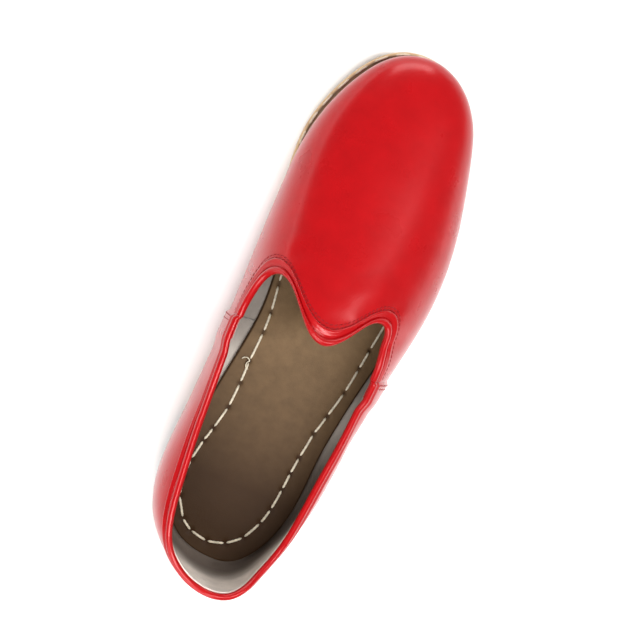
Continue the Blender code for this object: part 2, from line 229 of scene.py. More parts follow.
# The cross-sections of the two bindings in millimetres, from the strip's lower edge up over the
# bead to the inside: depth below the upper's cut edge, and distance out from its face.
VAMP_PROFILE = (
    (6.9, 0.05), (6.82, 0.5), (6.4, 0.8), (5.8, 0.9), (4.9, 0.74), (4.0, 0.62), (3.2, 0.4),
    (2.75, 0.06), (2.35, 0.4), (1.8, 1.05), (1.0, 1.42), (0.1, 1.4), (-0.6, 0.9),
    (-0.95, 0.05), (-0.9, -0.8), (-0.5, -1.55), (0.3, -1.92), (1.6, -1.98), (2.8, -1.9),
)
VAMP_RETURN = ((2.7, -1.75), (1.0, -0.97), (0.3, -0.93), (0.22, 0.02), (2.3, 0.03))
QUARTER_PROFILE = (
    (5.4, 0.05), (5.32, 0.6), (4.9, 0.98), (4.3, 0.92), (3.5, 0.66), (2.9, 0.5), (2.55, 0.16),
    (2.25, 0.4), (1.8, 0.95), (1.1, 1.32), (0.2, 1.36), (-0.55, 0.92), (-0.95, 0.1),
    (-0.88, -0.7), (-0.45, -1.4), (0.4, -1.7), (1.6, -1.72),
)
QUARTER_RETURN = ((1.5, -1.5), (0.6, -0.97), (0.3, -0.93), (0.22, 0.02), (2.0, 0.03))

# How far the vamp, its binding and its stitches stop short of a side seam
VAMP_TRIM = 0.0005
BINDING_SHORT = 0.0002
STITCH_SHORT = 0.001

# The lining: how deep it is cut below the topline, more so in the throat, the turns from the
# heel's middle over which its edge is thick, its painted shade's height, and its corded joins
GLUE_GAP = 0.0002
LINING_CUT = 0.0018
LINING_CUT_THROAT = 0.0014
THICK_EDGE_TURN = 88
THICK_EDGE_FADE = 20
LINING_SHADE_HEIGHT = 0.013
LINING_SEAM_BEHIND = 0.0022
LINING_SEAM_TOP = 0.003
LINING_CORD_RADIUS = 0.0004

# Rows of machine stitches: their depths below the topline, or distances behind the side seams
THROAT_ROWS = (0.0074, 0.0090)
COLLAR_ROWS = (0.0059,)
SEAM_ROWS = (0.0018, 0.0040)
SEAM_ROW_TOP = 0.0062
STITCH_SLANT = 0.2

# Hand stitches: the share of the pitch left free at each end and over which the thread thins,
# how much closer they are at the heel, how deep the thread dips, the dimple at each hole, and
# the loose ends, each beside a place in millimetres and starting at an angle
HAND_GAP = 0.07
STITCH_TAPER = 0.1
HEEL_CLOSER = 0.33
HAND_DIP = 0.0009
DIMPLE_DEPTH = 0.0008
DIMPLE_RADIUS = 0.0014
LOOSE_ENDS = ((-33, -24, 0.4), (-36, -36, 2.2))

# The rim's stitches
RIM_PITCH = 0.0105
RIM_GAP = 0.16
RIM_ARCH = 0.0004
RIM_LINE_INSET = 0.0011
RIM_THREAD_RADIUS = 0.00045

# The studio: each light's name, width, height, power in watts and place, the point that they
# face, the brighter side of the surround, and the camera with half its angle of view in degrees
LIGHTS = (
    ("strip_light", 0.16, 1.3, 19, (0.45, 0.22, 1.34)),
    ("softbox", 1.2, 0.9, 26, (-0.15, -1.0, 1.2)),
    ("front_light", 1.0, 0.4, 8, (-0.3, 1.3, 0.48)),
)
LIGHTS_AIM = (0, 0.02, 0.03)
BRIGHT_SIDE = (-0.85, 0.53, 0)
CAMERA_PLACE = (-0.0914, 0.0273, 0.650)
CAMERA_TARGET = (-0.0021, 0.0002, 0.022)
CAMERA_UP = (-0.4196, 0.9077, 0.0)
CAMERA_HALF_ANGLE = 13.2


def linear(code):
    """The linear colour of an sRGB hex value."""
    parts = [int(code[i:i + 2], 16) / 255 for i in (0, 2, 4)]
    return tuple(p / 12.92 if p <= 0.04045 else ((p + 0.055) / 1.055) ** 2.4 for p in parts)


def length_property(name, description, default, low, high):
    """A size in metres that a user may change."""
    return bpy.props.FloatProperty(
        name=name, description=description, default=default, min=low, max=high, unit="LENGTH",
        precision=5)


def colour_property(name, description, code):
    """A colour that a user may change, given in sRGB."""
    return bpy.props.FloatVectorProperty(
        name=name, description=description, default=linear(code), size=3, min=0, max=1,
        subtype="COLOR")


class ShoeSizes(bpy.types.PropertyGroup):
    """Sizes of the leathers, threads and stitches."""
    leather: length_property(
        "Leather", "Thickness of the upper's leather", 0.0009, 0.0006, 0.0012)
    lining: length_property(
        "Lining", "Thickness of the lining", 0.00065, 0.0004, 0.0008)
    lining_edge: length_property(
        "Lining edge", "Thickness of the lining at its cut edge round the heel",
        0.0013, 0.0006, 0.0016)
    machine_pitch: length_property(
        "Machine pitch", "Distance between the red machine stitches", 0.0022, 0.0015, 0.004)
    machine_thread: length_property(
        "Machine thread", "Diameter of the red sewing thread", 0.0006, 0.0003, 0.0008)
    hand_pitch: length_property(
        "Hand pitch", "Distance between the insole's hand stitches at the front",
        0.0137, 0.01, 0.018)
    hand_thread: length_property(
        "Hand thread", "Diameter of the insole's waxed thread", 0.0011, 0.0008, 0.0016)


class ShoeColours(bpy.types.PropertyGroup):
    """Colours of the leathers, threads and rubber."""
    upper: colour_property("Upper", "Dyed smooth leather of the upper", "9E060C")
    binding: colour_property("Binding", "Dyed leather of the bindings", "A0060C")
    lining: colour_property("Lining", "Undyed lining leather", "F4EADF")
    insole: colour_property("Insole", "Greased olive brown leather of the insole", "70593F")
    # Grease toward the insole's heel, and painted shade: low on the lining and inside the vamp,
    # round the insole's holes, along its edge and toward its heel, and in the rim's corner
    grease_and_shade: colour_property(
        "Dark stain", "Wax and grease on the insole, the lining and the sole's rim", "33200F")
    sole: colour_property("Sole", "Undyed sole leather", "C9A982")
    heel: colour_property("Heel", "Dark rubber of the heel lift", "2A2320")
    red_thread: colour_property("Red thread", "Sewing thread of the bindings", "8A060D")
    waxed_thread: colour_property("Waxed thread", "Thick thread of the hand stitches", "D6CCB6")
    floor: colour_property("Floor", "Studio floor", "F4F3F2")


def spline(knots, values, period=None):
    """A cubic spline through given values: natural at its ends, or closed on a period."""
    x = np.asarray(knots, float)
    y = np.asarray(values, float)
    if period:
        reach = 4
        x = np.concatenate((x[-reach:] - period, x, x[:reach] + period))
        y = np.concatenate((y[-reach:], y, y[:reach]))
    h = np.diff(x)
    slope = np.diff(y) / h
    system = np.eye(len(x))
    right = np.zeros(len(x))
    for i in range(1, len(x) - 1):
        system[i, i - 1:i + 2] = h[i - 1], 2 * (h[i - 1] + h[i]), h[i]
        right[i] = 6 * (slope[i] - slope[i - 1])
    bend = np.linalg.solve(system, right)

    def value(at):
        at = np.asarray(at, float)
        if period:
            at = np.mod(at, period)
        i = np.clip(np.searchsorted(x, at) - 1, 0, len(h) - 1)
        a = (x[i + 1] - at) / h[i]
        b = (at - x[i]) / h[i]
        curve = (a ** 3 - a) * bend[i] + (b ** 3 - b) * bend[i + 1]
        return a * y[i] + b * y[i + 1] + curve * h[i] ** 2 / 6

    return value


def column_spline(table, column, period=None):
    """A spline through one column of a table, over its first."""
    return spline([row[0] for row in table], [row[column] for row in table], period)


def eased(value):
    """The value held between 0 and 1, with soft ends."""
    t = np.clip(value, 0, 1)
    return t * t * (3 - 2 * t)


SECTION = {name: column_spline(SECTIONS, i) for i, name in enumerate(SECTION_NAMES) if i}
TOP_ACROSS = column_spline(TOPLINE, 1, 360)
TOP_ALONG = column_spline(TOPLINE, 2, 360)
TUCK = column_spline(FOOT, 1, 360)
EDGE = column_spline(FOOT, 2, 360)
HAND_INSET = column_spline(HAND_LINE, 1, 360)


def section(name, y):
    """A column of the section table at a place along the foot."""
    return SECTION[name](np.clip(y / LENGTH + 0.5, 0, 1))


def half_width(y):
    """Half the shoe's width along the foot, before its ends close."""
    return section("half_width", y) * BALL_WIDTH


def centre(y):
    """How far the shoe's middle lies toward its outer side."""
    return section("centre", y) * BALL_WIDTH


def end_closing(y, inset=0.0):
    """How far the outline has closed at the heel and toe: 0 along the foot, 1 at each tip."""
    half = LENGTH / 2 - inset
    toe = (y - (LENGTH / 2 - TOE_ROUND)) / (half - (LENGTH / 2 - TOE_ROUND))
    heel = (-y - (LENGTH / 2 - HEEL_ROUND)) / (half - (LENGTH / 2 - HEEL_ROUND))
    return np.clip(toe, 0, 1) ** END_POWER + np.clip(heel, 0, 1) ** END_POWER


def outline(turn, inset=0.0):
    """A point of the outline seen from above, moved in by inset."""
    angle = np.radians(turn)
    y = -(LENGTH / 2 - inset) * np.cos(angle)
    side = -np.sign(np.round(np.sin(angle), 9))
    reach = np.sqrt(np.clip(1 - end_closing(y, inset), 0, 1))
    return centre(y) + side * (half_width(y) - inset) * reach, y


def sole_bottom(y):
    """The underside of the outsole: on the ground at the ball, up over the heel and the toe."""
    share = y / LENGTH + 0.5
    back = HEEL_LENGTH / LENGTH + ARCH_PAST_HEEL
    arch = HEEL_LIFT * eased((ARCH_FRONT - share) / (ARCH_FRONT - back))
    spring = np.clip((share - SPRING_START) / (1 - SPRING_START), 0, 1)
    return arch + TOE_SPRING * spring ** 2


def bed(y):
    """The top of the outsole, where the upper sits."""
    return sole_bottom(y) + SOLE_THICKNESS


def belly(y):
    """The height of the upper's widest line."""
    return bed(y) + section("belly", y) * BELLY_HEIGHT


def crown(y):
    """The height of the last's ridge, or of the cone that the quarters lean to."""
    return section("crown", y) * INSTEP_HEIGHT


def spread(x, y):
    """0 on the ridge and 1 on the outline, squared."""
    across = (x - centre(y)) / half_width(y)
    across = across + section("skew", y) * (1 - across ** 2)
    return across ** 2 + end_closing(y)


def crown_height(x, y):
    """The height of the upper's face over a point seen from above."""
    arch = np.clip(1 - spread(x, y), 0, 1) ** (1 / section("fullness", y))
    return belly(y) + (crown(y) - belly(y)) * arch


def face_normal(points):
    """The outward direction of the upper's face above its widest line."""
    def level(p):
        lift = np.clip((p[..., 2] - belly(p[..., 1])) / (crown(p[..., 1]) - belly(p[..., 1])), 0, 1)
        return spread(p[..., 0], p[..., 1]) + lift ** section("fullness", p[..., 1])

    step = 0.00007
    slope = np.zeros(points.shape)
    for axis in range(3):
        shift = np.zeros(3)
        shift[axis] = step
        slope[..., axis] = level(points + shift) - level(points - shift)
    return slope / np.linalg.norm(slope, axis=-1, keepdims=True)


def topline(turn):
    """A point of the opening's edge seen from above."""
    return TOP_ACROSS(turn) * BALL_WIDTH, (TOP_ALONG(turn) - 0.5) * LENGTH


def face_paths(turns):
    """For each turn, the path over the face from the edge down to the widest line, and the
    distance run along it."""
    top = np.stack(topline(turns), axis=-1)
    foot = np.stack(outline(turns), axis=-1)
    reach = np.sin(np.linspace(0, math.pi / 2, PATH_STEPS + 1))[:, None, None]
    plan = top + (foot - top) * reach
    path = np.concatenate((plan, crown_height(plan[..., 0], plan[..., 1])[..., None]), axis=-1)
    steps = np.linalg.norm(np.diff(path, axis=0), axis=-1)
    run = np.concatenate((np.zeros((1, len(turns))), np.cumsum(steps, axis=0)))
    return path, run


def along_paths(paths, marks):
    """Points on the paths at the distances marks, one row of marks for each row of points."""
    path, run = paths
    marks = np.broadcast_to(marks, (len(marks), run.shape[1]))
    points = np.empty(marks.shape + (3,))
    for i in range(run.shape[1]):
        for axis in range(3):
            points[:, i, axis] = np.interp(marks[:, i], run[:, i], path[:, i, axis])
    return points


def face_points(paths, marks, rise):
    """Points on the creased face at the distances marks, moved out by rise, and the directions
    outward there."""
    face = along_paths(paths, marks)
    out = face_normal(face)
    return face + out * (rise + fold(face))[..., None], out


def seam_turns():
    """The angles of the two side seams, inner and outer."""
    inner = math.degrees(math.acos(1 - 2 * SIDE_SEAM_ALONG))
    return inner, 360 - inner


def degrees_of(distance):
    """A distance along the side as an angle round the outline."""
    return distance / (LENGTH / 2 * math.radians(1))


def behind_seams(distance):
    """The turn at a distance behind each side seam, as the one turn of an array."""
    inner, outer = seam_turns()
    return np.array([inner - degrees_of(distance)]), np.array([outer + degrees_of(distance)])


def lap_rise(turns):
    """How far the quarter stands proud: full over the hidden vamp edge, then fading out."""
    inner, outer = seam_turns()
    turns = np.mod(turns, 360)
    behind = np.where(turns < 180, inner - turns, turns - outer) / degrees_of(1)
    fade = eased((LAP_WIDTH + LAP_FADE - behind) / LAP_FADE)
    return np.where(behind > 0, LAP_RISE * fade, 0.0)


def tuck_inset(turn):
    """How far inside the widest line the upper meets the sole."""
    return TUCK(turn) * SOLE_INSET


def sole_edge(turn):
    """How far inside the widest line the outsole ends."""
    return EDGE(turn) * SOLE_INSET


def form_shift():
    """Where the last's own middle lies in the frame."""
    low, high = (np.array(corner)[:2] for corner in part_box("upper"))
    x, y = outline(np.arange(0, 360, SOLID_TURN_STEP))
    return (low + high) / 2 - np.array([x.min() + x.max(), y.min() + y.max()]) / 2


SHIFT = np.append(form_shift(), 0.0)


def columns(first, last):
    """Even turns from first to last."""
    return np.linspace(first, last, max(2, round((last - first) / COLUMN_STEP)) + 1)


def vamp_turns(under=0.0):
    """The turns of the front piece, with what it runs on under the quarters."""
    inner, outer = seam_turns()
    return columns(inner - degrees_of(under), outer + degrees_of(under))


def quarter_turns():
    """The turns of the quarters, from the outer seam round the heel to the inner seam."""
    inner, outer = seam_turns()
    return columns(outer, 360 + inner)


def wall_layer(turns, inward, rise, top=0.0):
    """Points of one layer of the wall: from top below the topline down the face, in at the
    sole and on under the insole. inward is its depth into the face, and rise how far the
    face stands out."""
    paths = face_paths(turns)
    total = paths[1][-1]
    marks = list(np.linspace(np.broadcast_to(top, len(turns)), FINE_BAND, FINE_ROWS + 1))
    marks += [FINE_BAND + (total - FINE_BAND) * i / BODY_ROWS for i in range(1, BODY_ROWS + 1)]
    face, _ = face_points(paths, np.array(marks), rise - inward)
    rows = list(face)
    tuck = tuck_inset(turns)
    widest = belly(outline(turns)[1])
    low = np.broadcast_to(inward, face.shape[:2])[-1]
    for k in range(1, TUCK_ROWS + 1):
        angle = math.pi / 2 * k / TUCK_ROWS
        x, y = outline(turns, tuck * (1 - math.cos(angle)) + low - rise * math.cos(angle))
        foot = bed(y) + SEAT_GAP + low
        rows.append(np.stack((x, y, widest - (widest - foot) * math.sin(angle)), axis=-1))
    for share in (0.3, 1.0):
        x, y = outline(turns, tuck + WALL + MARGIN * share)
        rows.append(np.stack((x, y, bed(y) + SEAT_GAP + low), axis=-1))
    return np.array(rows)


def fold(face):
    """How far soft troughs and ridges move the leather in or out."""
    plan = face[..., :2] / MM
    move = np.zeros(plan.shape[:-1])
    for x0, y0, x1, y1, width, height in FOLDS:
        start, span = np.array((x0, y0)), np.array((x1 - x0, y1 - y0))
        along = ((plan - start) @ span) / (span @ span)
        near = plan - start - np.clip(along, 0, 1)[..., None] * span
        off = (near ** 2).sum(axis=-1) / width ** 2
        ends = np.clip(np.minimum(along, 1 - along) * 4 + 0.25, 0, 1)
        move += height * MM * ends * np.exp(-off)
    return move * eased((face[..., 2] - belly(face[..., 1])) / 0.01)


def grid(mesh, points):
    """Adds a grid of faces through rows of points, and returns its vertices in rows."""
    rows, count = points.shape[:2]
    made = bmesh.ops.create_grid(mesh, x_segments=count - 1, y_segments=rows - 1, size=1)
    verts = [[None] * count for _ in range(rows)]
    for v in made["verts"]:
        i = round((v.co.y + 1) / 2 * (rows - 1))
        j = round((v.co.x + 1) / 2 * (count - 1))
        v.co = points[i, j]
        verts[i][j] = v
    return verts


def merge(mesh, verts=None):
    """Joins the points that lie in one place."""
    bmesh.ops.remove_doubles(mesh, verts=verts or mesh.verts[:], dist=MERGE_DISTANCE)


def shell(outer, inner, closed=False):
    """A wall between two grids of points: one grid, extruded and moved to the other."""
    mesh = bmesh.new()
    place = mesh.verts.layers.int.new("place")
    for i, row in enumerate(grid(mesh, outer)):
        for j, v in enumerate(row):
            v[place] = i * outer.shape[1] + j
    if closed:
        merge(mesh)
    made = bmesh.ops.extrude_face_region(mesh, geom=mesh.faces[:], use_keep_orig=True)
    flat = inner.reshape(-1, 3)
    for item in made["geom"]:
        if isinstance(item, bmesh.types.BMVert):
            item.co = flat[item[place]]
    return mesh


def swept(rings):
    """A body from rings of points: each ring is closed, and the ends are capped."""
    mesh = bmesh.new()
    grid(mesh, np.concatenate((rings, rings[:, :1]), axis=1))
    merge(mesh)
    bmesh.ops.holes_fill(mesh, edges=[e for e in mesh.edges if e.is_boundary], sides=0)
    return mesh


def mesh_object(name, mesh, material):
    """Turns a bmesh into an object of the scene, with its material."""
    data = bpy.data.meshes.new(name)
    mesh.to_mesh(data)
    mesh.free()
    data.materials.append(material)
    made = bpy.data.objects.new(name, data)
    bpy.context.scene.collection.objects.link(made)
    return made


def finish_piece(name, mesh, material, replaced=()):
    """Turns a bmesh into a named piece, smooth and facing outward, that rides on the shoe."""
    bmesh.ops.recalc_face_normals(mesh, faces=mesh.faces[:])
    bmesh.ops.translate(mesh, verts=mesh.verts[:], vec=SHIFT)
    piece = mesh_object(name, mesh, material)
    piece.data.shade_smooth()
    piece.data.set_sharp_from_angle(angle=math.radians(SHARP_ANGLE))
    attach(piece, "root")
    if replaced:
        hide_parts(*replaced)


def wire(tree, node, inputs):
    """Sets a node's inputs to values, or links them to sockets."""
    for name, value in inputs.items():
        if isinstance(value, bpy.types.NodeSocket):
            tree.links.new(value, node.inputs[name])
        else:
            node.inputs[name].default_value = value


def add(tree, kind, inputs=None, **settings):
    """Adds a node with its settings, and sets or links its inputs."""
    made = tree.nodes.new(kind)
    for name, value in settings.items():
        setattr(made, name, value)
    wire(tree, made, inputs or {})
    return made


def blank_material(name):
    """A material with a Principled BSDF, its tree and its object coordinates."""
    material = bpy.data.materials.new(name)
    material.use_nodes = True
    tree = material.node_tree
    place = add(tree, "ShaderNodeTexCoord").outputs["Object"]
    return material, tree, tree.nodes["Principled BSDF"], place


def per_metre(millimetres):
    """The scale of a texture whose features are that far apart."""
    return 1 / (millimetres * MM)


def shade(colour, factor):
    """The colour made darker or lighter, with full alpha."""
    return (*[min(1.0, c * factor) for c in colour], 1)


def mixed(tree, share, first, second):
    """The first colour turning into the second with the share."""
    return add(tree, "ShaderNodeMix", {0: share, 6: first, 7: second},
               data_type="RGBA").outputs[2]


def mottled(tree, place, colour, size, low, high):
    """A colour that wanders between a darker and a lighter shade of itself."""
    noise = add(tree, "ShaderNodeTexNoise", {
        "Vector": place, "Scale": per_metre(size), "Detail": 3.0, "Roughness": 0.55})
    ease = add(tree, "ShaderNodeMapRange", {
        "Value": noise.outputs["Fac"], "From Min": 0.3, "From Max": 0.7})
    return mixed(tree, ease.outputs["Result"], shade(colour, low), shade(colour, high))


def mixed_stain_and_shade(tree, body, dark):
    """The colour body, turned dark where a per-point share says so: grease and painted shade."""
    stain_and_shade = add(tree, "ShaderNodeAttribute", attribute_name="stain_and_shade")
    return mixed(tree, stain_and_shade.outputs["Fac"], body, (*dark, 1))


def bump(tree, height, depth, strength, normal):
    """A bump from a height, laid over an earlier one where there is one."""
    inputs = {"Height": height, "Distance": depth, "Strength": strength}
    if normal:
        inputs["Normal"] = normal
    return add(tree, "ShaderNodeBump", inputs).outputs["Normal"]


def grain_bump(tree, place, size, depth, strength, normal=None):
    """The fine cells of a leather's grain, as a bump."""
    cells = add(tree, "ShaderNodeTexVoronoi", {
        "Vector": place, "Scale": per_metre(size), "Randomness": 0.9},
        feature="DISTANCE_TO_EDGE")
    flat = add(tree, "ShaderNodeMapRange", {
        "Value": cells.outputs["Distance"], "From Min": 0.0, "From Max": 0.16},
        interpolation_type="SMOOTHSTEP")
    return bump(tree, flat.outputs["Result"], depth, strength, normal)


def soft_bump(tree, place, size, depth, strength, normal=None):
    """A slow unevenness, as a bump."""
    noise = add(tree, "ShaderNodeTexNoise", {
        "Vector": place, "Scale": per_metre(size), "Detail": 2.0})
    return bump(tree, noise.outputs["Fac"], depth, strength, normal)


def dyed_leather(name, colour):
    """Smooth dyed calf leather with a light polish: a fine grain that only breaks up the edges
    of its soft, wide reflections."""
    material, tree, shader, place = blank_material(name)
    wear = add(tree, "ShaderNodeTexNoise", {
        "Vector": place, "Scale": per_metre(14), "Detail": 4.0})
    rough = add(tree, "ShaderNodeMapRange", {
        "Value": wear.outputs["Fac"], "To Min": 0.24, "To Max": 0.33})
    uneven = soft_bump(tree, place, 9, 0.0005, 0.2)
    wire(tree, shader, {
        "Base Color": mottled(tree, place, colour, 9, 0.94, 1.06),
        "Roughness": rough.outputs["Result"],
        # Real calf grain is finer than a pixel of the render, so it is drawn coarser and fainter
        "Normal": grain_bump(tree, place, 1.7, 0.00005, 0.18, uneven),
        "IOR": 1.4,
        "Specular Tint": (1.0, 0.3, 0.3, 1),
        "Coat Weight": 0.45,
        "Coat Roughness": 0.2,
        "Coat IOR": 1.4,
    })
    return material


def natural_leather(name, colour, dark, shades, finish, uneven, grain):
    """Undyed or greased leather, turned toward dark by grease and painted shade. shades is how its
    colour wanders, finish its roughness and specular level, and uneven and grain are its two bumps."""
    material, tree, shader, place = blank_material(name)
    roughness, specular = finish
    wire(tree, shader, {
        "Base Color": mixed_stain_and_shade(tree, mottled(tree, place, colour, *shades), dark),
        "Roughness": roughness,
        "Specular IOR Level": specular,
        "Normal": grain_bump(tree, place, *grain, soft_bump(tree, place, *uneven)),
    })
    return material


def lining_leather(name, colour, dark):
    """Thin undyed pigskin lining: matt, pale and a little uneven, with painted shade low on the
    wall, most in the heel, and inside the vamp."""
    return natural_leather(name, colour, dark, (6, 0.88, 1.04), (0.72, 0.2), (3, 0.0004, 0.3),
                           (1.1, 0.00008, 0.5))


def insole_leather(name, colour, dark):
    """Greased vegetable-tanned leather: olive brown with a low sheen; painted shade at its edge
    and holes, and toward the heel grease with painted shade."""
    return natural_leather(name, colour, dark, (5, 0.86, 1.1), (0.5, 0.12), (2.5, 0.0003, 0.3),
                           (0.8, 0.00006, 0.5))


def sole_leather(name, colour, dark):
    """Thick vegetable-tanned sole leather: pale tan, with painted shade where it meets the upper.
    """
    return natural_leather(name, colour, dark, (7, 0.8, 1.1), (0.6, 0.5), (2, 0.0004, 0.35),
                           (0.7, 0.00008, 0.5))


def rubber(name, colour):
    """Moulded heel rubber: nearly black, matt, with a faint rough skin."""
    material, tree, shader, place = blank_material(name)
    wire(tree, shader, {
        "Base Color": mottled(tree, place, colour, 4, 0.8, 1.25),
        "Roughness": 0.78,
        "Normal": soft_bump(tree, place, 0.8, 0.0002, 0.4),
    })
    return material


def thread(name, colour, roughness, ply):
    """Sewing thread: fibres that catch the light a little unevenly along its twist."""
    material, tree, shader, place = blank_material(name)
    wire(tree, shader, {
        "Base Color": mottled(tree, place, colour, ply, 0.72, 1.12),
        "Roughness": roughness,
        "Specular IOR Level": 0.2,
        "Normal": soft_bump(tree, place, 0.5, 0.0002, 0.4),
    })
    return material


def run_along(points):
    """The distance run along a line at each of its points."""
    steps = np.linalg.norm(np.diff(points, axis=0), axis=-1)
    return np.concatenate(([0], np.cumsum(steps)))


def at_distance(run, values, distance):
    """The place, or another direction or value that a line carries, at a distance along it."""
    return np.stack(
        [np.interp(distance, run, values[:, axis]) for axis in range(3)], axis=-1)


def smooth_profile(profile):
    """The profile's listed points in metres, joined by a smooth curve."""
    knots = np.array(profile) * MM
    run = run_along(knots)
    at = np.linspace(0, run[-1], PROFILE_POINTS)
    return np.stack([spline(run, knots[:, axis])(at) for axis in range(2)], axis=-1)


def edge_points(turns, profile, rise):
    """Points at depths below the topline and distances out from the face; a negative depth is
    above the cut edge."""
    depths, away = np.array(profile).T[..., None]
    paths = face_paths(turns)
    face, _ = face_points(paths, np.maximum(depths, 0), away + rise)
    top = along_paths(paths, np.array([[0.0], [0.002]]))
    up = top[0] - top[1]
    up /= np.linalg.norm(up, axis=-1, keepdims=True)
    return face + up * np.maximum(-depths, 0)[..., None]


def binding(name, turns, profile, closing, material, node):
    """A folded strip swept along the topline, with its bead and its flat band."""
    ring = np.concatenate((smooth_profile(profile), np.array(closing) * MM))
    points = edge_points(turns, ring, lap_rise(turns))
    finish_piece(name, swept(points.transpose(1, 0, 2)), material, (node,))


def stitch_row(mesh, line, normals, sizes, slant=0.0):
    """Short machine stitches along a line on the leather, each a small spindle of thread."""
    run = run_along(line)
    count = int(run[-1] / sizes.machine_pitch)
    pitch = run[-1] / count
    radius = sizes.machine_thread / 2
    spindle = Matrix.Diagonal((sizes.machine_pitch * 0.9 / 2, radius, radius * 0.8, 1))
    lengthwise = Matrix.Rotation(math.pi / 2, 4, "Y")
    for i in range(count):
        middle = (i + 0.5) * pitch
        behind, place, ahead = at_distance(
            run, line, middle + pitch * np.array([-0.3, 0.0, 0.3]))
        up = Vector(at_distance(run, normals, middle)).normalized()
        forward = Vector(ahead - behind).normalized()
        forward = (Matrix.Rotation(slant, 3, up) @ forward).normalized()
        side = up.cross(forward).normalized()
        up = forward.cross(side)
        turn = Matrix((forward, side, up)).transposed().to_4x4()
        bmesh.ops.create_uvsphere(
            mesh, u_segments=6, v_segments=5, radius=1,
            matrix=Matrix.Translation(place) @ turn @ spindle @ lengthwise)


def stitch_shape(gap, steps):
    """The points of a hand stitch as shares of its pitch, with its arch and how full its
    thread is there. gap is the share of the pitch that is left free at each end."""
    along = np.linspace(0, 1, steps)
    share = gap + (1 - 2 * gap) * along
    ends = np.minimum(share - gap, 1 - gap - share)
    return share, np.sin(math.pi * along), np.clip(ends / STITCH_TAPER, 0, 1) ** 0.5


def tube(mesh, points, radii, sides, twist=0.0, ply=0.0):
    """A closed thread along points whose radius may fall to nothing at its ends. twist is the
    length of one turn of its plies, and ply how much they stand out."""
    tangent = np.gradient(points, axis=0)
    tangent /= np.linalg.norm(tangent, axis=-1, keepdims=True)
    side = np.cross(tangent, (0, 0, 1.0))
    side /= np.linalg.norm(side, axis=-1, keepdims=True)
    up = np.cross(side, tangent)
    around = np.linspace(0, 2 * math.pi, sides + 1)
    rings = []
    for i, run in enumerate(run_along(points)):
        phase = 2 * math.pi * run / twist if twist else 0
        radius = radii[i] * (1 + ply * np.cos(2 * (around - phase)))
        rings.append(points[i] + np.outer(np.cos(around) * radius, side[i])
                     + np.outer(np.sin(around) * radius, up[i]))
    merge(mesh, [v for row in grid(mesh, np.array(rings)) for v in row])


def heel_share(y):
    """0 from the waist forward, rising to 1 at the heel's back."""
    return np.clip((-y / LENGTH - 0.03) / 0.3, 0, 1)


def insole_edge(turn):
    """How far the insole's edge lies inside the outline."""
    return tuck_inset(turn) + WALL + SEAT_GAP


def insole_top(y):
    """The height of the insole's top face."""
    return bed(y) + INSOLE_TOP


def rounded_edge(edge, top, radius, cut):
    """Insets and heights over a leather's rounded upper edge; cut is its middle step."""
    return [(edge, top - radius), (edge + cut, top - cut), (edge + radius, top)]


def sole_rows(turns, levels, inner_rows, height):
    """Rows of points over a sole: first at the insets given, then in to the line along the
    foot's middle that closes its top or underside."""
    rows = []
    for inset, rise in levels:
        x, y = outline(turns, inset)
        rows.append(np.stack((x, y, height(y) + rise), axis=-1))
    middle_y = outline(turns)[1] * 0.72
    middle_x = centre(middle_y)
    for k in range(1, inner_rows + 1):
        share = k / inner_rows
        px = x + (middle_x - x) * share
        py = y + (middle_y - y) * share
        rows.append(np.stack((px, py, height(py) + levels[-1][1]), axis=-1))
    return rows


def hand_stitch_line():
    """The line of the insole's hand stitches, seen from above."""
    turns = np.arange(0, 360.01, 0.5)
    x, y = outline(turns, insole_edge(turns) + HAND_INSET(turns) * MM)
    return np.stack((x, y, np.zeros(len(x))), axis=-1)


